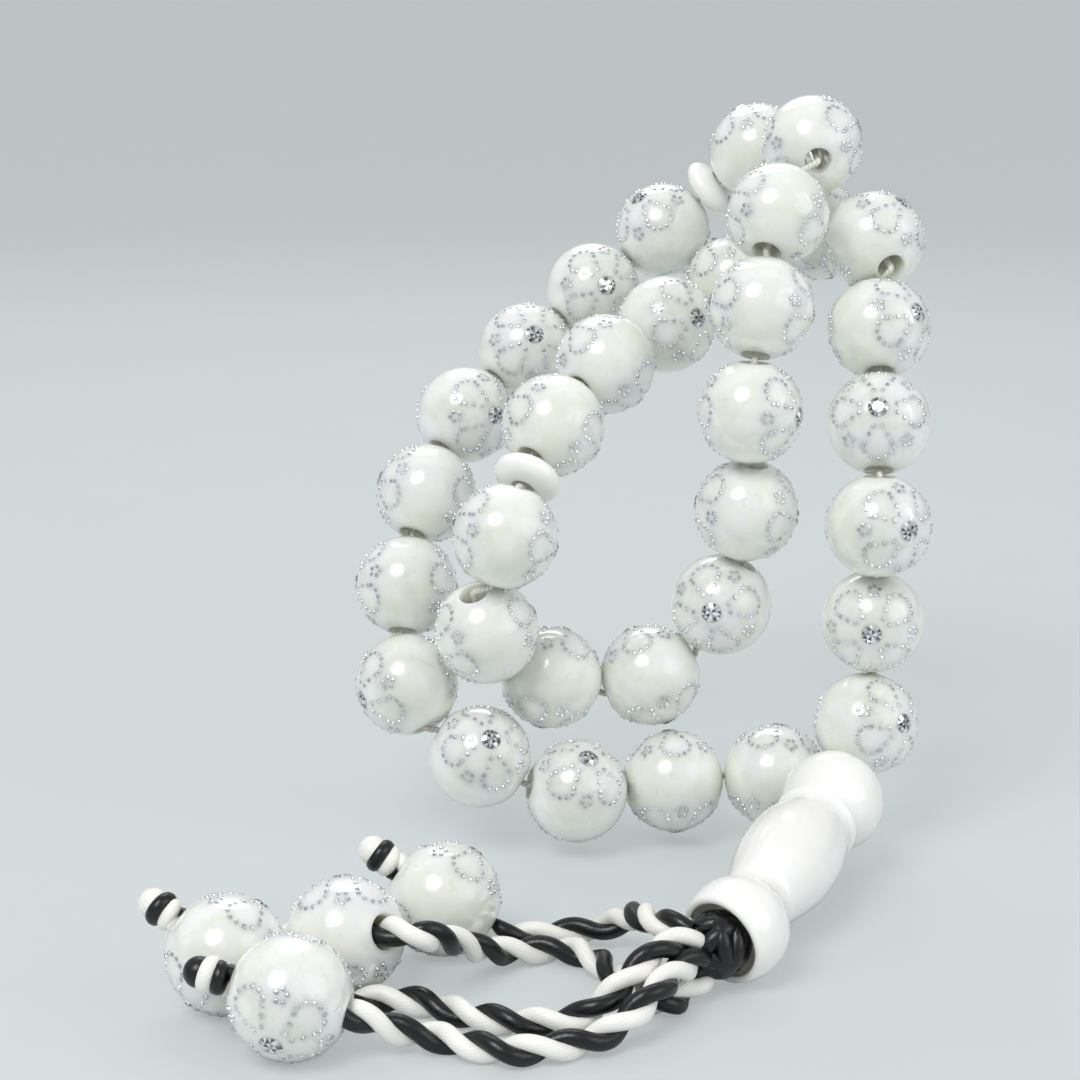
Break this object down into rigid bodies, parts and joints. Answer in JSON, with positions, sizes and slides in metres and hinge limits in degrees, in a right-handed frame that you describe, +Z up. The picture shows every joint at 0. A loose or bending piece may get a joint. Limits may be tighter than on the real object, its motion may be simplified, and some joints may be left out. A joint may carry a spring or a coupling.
{
  "type": "misbaha prayer beads",
  "caption": "Strand of round resin prayer beads with set stones, marker discs, a turned imame and a tassel of twisted cords with beads, hung up doubled.",
  "frame": {"origin": "the point between the two turns of the doubled loop where its fold hangs from what carries it", "axes": "+Z up, -Y towards the tassel, +X to the right of the tassel"},
  "size_m": [0.0863, 0.1038, 0.0874],
  "materials": {
    "bead_resin": "milky translucent resin, polished, with two clear faceted stones and small silver pins",
    "marker_resin": "opaque white resin, polished",
    "imame_resin": "opaque white resin, turned and polished",
    "string_thread": "twisted polyester string, off-white",
    "tassel_cord": "satin cord, one black and one white strand twisted together"
  },
  "bodies": {
    "string": {"loop_string": "string_thread", "imame_ball": "imame_resin"},
    "bead_01": {"bead_01": "bead_resin"},
    "bead_02": {"bead_02": "bead_resin"},
    "bead_03": {"bead_03": "bead_resin"},
    "bead_04": {"bead_04": "bead_resin"},
    "bead_05": {"bead_05": "bead_resin"},
    "bead_06": {"bead_06": "bead_resin"},
    "bead_07": {"bead_07": "bead_resin"},
    "bead_08": {"bead_08": "bead_resin"},
    "bead_09": {"bead_09": "bead_resin"},
    "bead_10": {"bead_10": "bead_resin"},
    "bead_11": {"bead_11": "bead_resin"},
    "bead_12": {"bead_12": "bead_resin"},
    "bead_13": {"bead_13": "bead_resin"},
    "bead_14": {"bead_14": "bead_resin"},
    "bead_15": {"bead_15": "bead_resin"},
    "bead_16": {"bead_16": "bead_resin"},
    "bead_17": {"bead_17": "bead_resin"},
    "bead_18": {"bead_18": "bead_resin"},
    "bead_19": {"bead_19": "bead_resin"},
    "bead_20": {"bead_20": "bead_resin"},
    "bead_21": {"bead_21": "bead_resin"},
    "bead_22": {"bead_22": "bead_resin"},
    "bead_23": {"bead_23": "bead_resin"},
    "bead_24": {"bead_24": "bead_resin"},
    "bead_25": {"bead_25": "bead_resin"},
    "bead_26": {"bead_26": "bead_resin"},
    "bead_27": {"bead_27": "bead_resin"},
    "bead_28": {"bead_28": "bead_resin"},
    "bead_29": {"bead_29": "bead_resin"},
    "bead_30": {"bead_30": "bead_resin"},
    "bead_31": {"bead_31": "bead_resin"},
    "bead_32": {"bead_32": "bead_resin"},
    "bead_33": {"bead_33": "bead_resin"},
    "marker_disc_1": {"marker_disc_1": "marker_resin"},
    "marker_disc_2": {"marker_disc_2": "marker_resin"},
    "barrel": {"imame_barrel": "imame_resin"},
    "cup": {"imame_cup": "imame_resin"},
    "tassel": {"head_knot": "tassel_cord", "tassel_rope_1": "tassel_cord", "tassel_rope_2": "tassel_cord", "tassel_rope_3": "tassel_cord", "tassel_rope_4": "tassel_cord", "end_knot_1": "tassel_cord", "end_knot_2": "tassel_cord", "end_knot_3": "tassel_cord", "end_knot_4": "tassel_cord"},
    "tassel_bead_1": {"tassel_bead_1": "bead_resin"},
    "tassel_bead_2": {"tassel_bead_2": "bead_resin"},
    "tassel_bead_3": {"tassel_bead_3": "bead_resin"},
    "tassel_bead_4": {"tassel_bead_4": "bead_resin"}
  },
  "joints": [
    {"name": "bead_01_spin", "type": "hinge", "parent": "string", "child": "bead_01", "pos_m": [0.00835, -0.02278, -0.05849], "axis": [0.2503, 0.4776, 0.8422], "continuous": true},
    {"name": "bead_02_spin", "type": "hinge", "parent": "string", "child": "bead_02", "pos_m": [0.00899, -0.02102, -0.04651], "axis": [0.0246, -0.0138, 0.9996], "continuous": true},
    {"name": "bead_03_spin", "type": "hinge", "parent": "string", "child": "bead_03", "pos_m": [0.00894, -0.02311, -0.03457], "axis": [0.0156, 0.1207, 0.9926], "continuous": true},
    {"name": "bead_04_spin", "type": "hinge", "parent": "string", "child": "bead_04", "pos_m": [0.00936, -0.01822, -0.02349], "axis": [0.043, 0.4764, 0.8782], "continuous": true},
    {"name": "bead_05_spin", "type": "hinge", "parent": "string", "child": "bead_05", "pos_m": [0.00998, -0.0116, -0.01336], "axis": [0.0342, 0.5786, 0.8149], "continuous": true},
    {"name": "bead_06_spin", "type": "hinge", "parent": "string", "child": "bead_06", "pos_m": [0.01018, -0.00421, -0.00376], "axis": [-0.2464, 0.8533, 0.4596], "continuous": true},
    {"name": "bead_07_spin", "type": "hinge", "parent": "string", "child": "bead_07", "pos_m": [0.00472, 0.00661, -0.00355], "axis": [-0.7661, 0.5653, -0.3059], "continuous": true},
    {"name": "bead_08_spin", "type": "hinge", "parent": "string", "child": "bead_08", "pos_m": [-0.0055, 0.00737, -0.01002], "axis": [-0.8366, -0.2717, -0.4758], "continuous": true},
    {"name": "bead_09_spin", "type": "hinge", "parent": "string", "child": "bead_09", "pos_m": [-0.01439, 0.0004, -0.01442], "axis": [-0.6887, -0.6436, -0.3339], "continuous": true},
    {"name": "bead_10_spin", "type": "hinge", "parent": "string", "child": "bead_10", "pos_m": [-0.02213, -0.00817, -0.01808], "axis": [-0.5837, -0.7081, -0.3973], "continuous": true},
    {"name": "bead_11_spin", "type": "hinge", "parent": "string", "child": "bead_11", "pos_m": [-0.02845, -0.01666, -0.02399], "axis": [-0.4627, -0.696, -0.5491], "continuous": true},
    {"name": "bead_12_spin", "type": "hinge", "parent": "string", "child": "bead_12", "pos_m": [-0.03395, -0.02733, -0.03483], "axis": [-0.2589, -0.1773, -0.9495], "continuous": true},
    {"name": "bead_13_spin", "type": "hinge", "parent": "string", "child": "bead_13", "pos_m": [-0.03619, -0.02543, -0.04659], "axis": [0.2476, 0.3762, -0.8929], "continuous": true},
    {"name": "bead_14_spin", "type": "hinge", "parent": "string", "child": "bead_14", "pos_m": [-0.02867, -0.01932, -0.05387], "axis": [0.8582, 0.3815, -0.3435], "continuous": true},
    {"name": "bead_15_spin", "type": "hinge", "parent": "string", "child": "bead_15", "pos_m": [-0.01682, -0.01682, -0.05434], "axis": [0.9194, 0.109, 0.3779], "continuous": true},
    {"name": "bead_16_spin", "type": "hinge", "parent": "string", "child": "bead_16", "pos_m": [-0.00847, -0.01692, -0.04556], "axis": [0.4717, -0.0564, 0.8799], "continuous": true},
    {"name": "bead_17_spin", "type": "hinge", "parent": "string", "child": "bead_17", "pos_m": [-0.00581, -0.01813, -0.0338], "axis": [0.1118, -0.1309, 0.9851], "continuous": true},
    {"name": "bead_18_spin", "type": "hinge", "parent": "string", "child": "bead_18", "pos_m": [-0.00578, -0.02007, -0.02184], "axis": [0.0593, 0.0594, 0.9965], "continuous": true},
    {"name": "bead_19_spin", "type": "hinge", "parent": "string", "child": "bead_19", "pos_m": [-0.00441, -0.01673, -0.01027], "axis": [0.1498, 0.396, 0.9059], "continuous": true},
    {"name": "bead_20_spin", "type": "hinge", "parent": "string", "child": "bead_20", "pos_m": [-0.00218, -0.01056, -0.00008], "axis": [0.2895, 0.6544, 0.6985], "continuous": true},
    {"name": "bead_21_spin", "type": "hinge", "parent": "string", "child": "bead_21", "pos_m": [0.00291, -0.00019, 0.00739], "axis": [-0.0208, 0.9601, 0.279], "continuous": true},
    {"name": "bead_22_spin", "type": "hinge", "parent": "string", "child": "bead_22", "pos_m": [-0.00264, 0.01051, 0.00605], "axis": [-0.5839, 0.7434, -0.3262], "continuous": true},
    {"name": "bead_23_spin", "type": "hinge", "parent": "string", "child": "bead_23", "pos_m": [-0.0142, 0.01446, -0.00417], "axis": [-0.7588, -0.1485, -0.6342], "continuous": true},
    {"name": "bead_24_spin", "type": "hinge", "parent": "string", "child": "bead_24", "pos_m": [-0.02326, 0.01096, -0.01141], "axis": [-0.7275, -0.3491, -0.5906], "continuous": true},
    {"name": "bead_25_spin", "type": "hinge", "parent": "string", "child": "bead_25", "pos_m": [-0.0318, 0.00602, -0.01846], "axis": [-0.6627, -0.4629, -0.5887], "continuous": true},
    {"name": "bead_26_spin", "type": "hinge", "parent": "string", "child": "bead_26", "pos_m": [-0.03929, -0.00023, -0.02565], "axis": [-0.5004, -0.5734, -0.6487], "continuous": true},
    {"name": "bead_27_spin", "type": "hinge", "parent": "string", "child": "bead_27", "pos_m": [-0.04381, -0.00774, -0.03402], "axis": [-0.278, -0.5876, -0.7599], "continuous": true},
    {"name": "bead_28_spin", "type": "hinge", "parent": "string", "child": "bead_28", "pos_m": [-0.04597, -0.01437, -0.04393], "axis": [-0.078, -0.5339, -0.8419], "continuous": true},
    {"name": "bead_29_spin", "type": "hinge", "parent": "string", "child": "bead_29", "pos_m": [-0.04569, -0.02061, -0.05432], "axis": [0.3982, -0.42, -0.8155], "continuous": true},
    {"name": "bead_30_spin", "type": "hinge", "parent": "string", "child": "bead_30", "pos_m": [-0.03705, -0.02379, -0.06221], "axis": [0.8464, -0.1437, -0.5127], "continuous": true},
    {"name": "bead_31_spin", "type": "hinge", "parent": "string", "child": "bead_31", "pos_m": [-0.02569, -0.02401, -0.06643], "axis": [0.973, 0.1442, -0.1803], "continuous": true},
    {"name": "bead_32_spin", "type": "hinge", "parent": "string", "child": "bead_32", "pos_m": [-0.01413, -0.02039, -0.06646], "axis": [0.9911, 0.1275, 0.0389], "continuous": true},
    {"name": "bead_33_spin", "type": "hinge", "parent": "string", "child": "bead_33", "pos_m": [-0.00206, -0.02097, -0.0655], "axis": [0.8439, -0.532, 0.0698], "continuous": true},
    {"name": "marker_disc_1_spin", "type": "hinge", "parent": "string", "child": "marker_disc_1", "pos_m": [-0.03143, -0.02217, -0.02912], "axis": [-0.3399, -0.66, -0.67], "continuous": true},
    {"name": "marker_disc_2_spin", "type": "hinge", "parent": "string", "child": "marker_disc_2", "pos_m": [-0.00816, 0.01391, 0.0012], "axis": [-0.726, 0.2485, -0.6413], "continuous": true},
    {"name": "imame_barrel_spin", "type": "hinge", "parent": "string", "child": "barrel", "pos_m": [0.0035, -0.0315, -0.065], "axis": [-0.4203, -0.9013, -0.1045], "continuous": true},
    {"name": "imame_cup_spin", "type": "hinge", "parent": "string", "child": "cup", "pos_m": [-0.00993, -0.0603, -0.06834], "axis": [-0.6568, -0.7295, -0.1908], "continuous": true},
    {"name": "tassel_swing", "type": "hinge", "parent": "string", "child": "tassel", "pos_m": [-0.0121, -0.06271, -0.06897], "axis": [0, 0, 1], "range_deg": [-12, 12]},
    {"name": "tassel_bead_1_spin", "type": "hinge", "parent": "tassel", "child": "tassel_bead_1", "pos_m": [-0.0536, -0.0773, -0.068], "axis": [0.965, -0.1407, -0.2212], "continuous": true},
    {"name": "tassel_bead_2_spin", "type": "hinge", "parent": "tassel", "child": "tassel_bead_2", "pos_m": [-0.061, -0.0674, -0.068], "axis": [0.8301, -0.3, -0.47], "continuous": true},
    {"name": "tassel_bead_3_spin", "type": "hinge", "parent": "tassel", "child": "tassel_bead_3", "pos_m": [-0.0496, -0.0628, -0.068], "axis": [0.7495, -0.5796, 0.3198], "continuous": true},
    {"name": "tassel_bead_4_spin", "type": "hinge", "parent": "tassel", "child": "tassel_bead_4", "pos_m": [-0.0401, -0.0531, -0.068], "axis": [0.8276, -0.1197, -0.5484], "continuous": true}
  ]
}
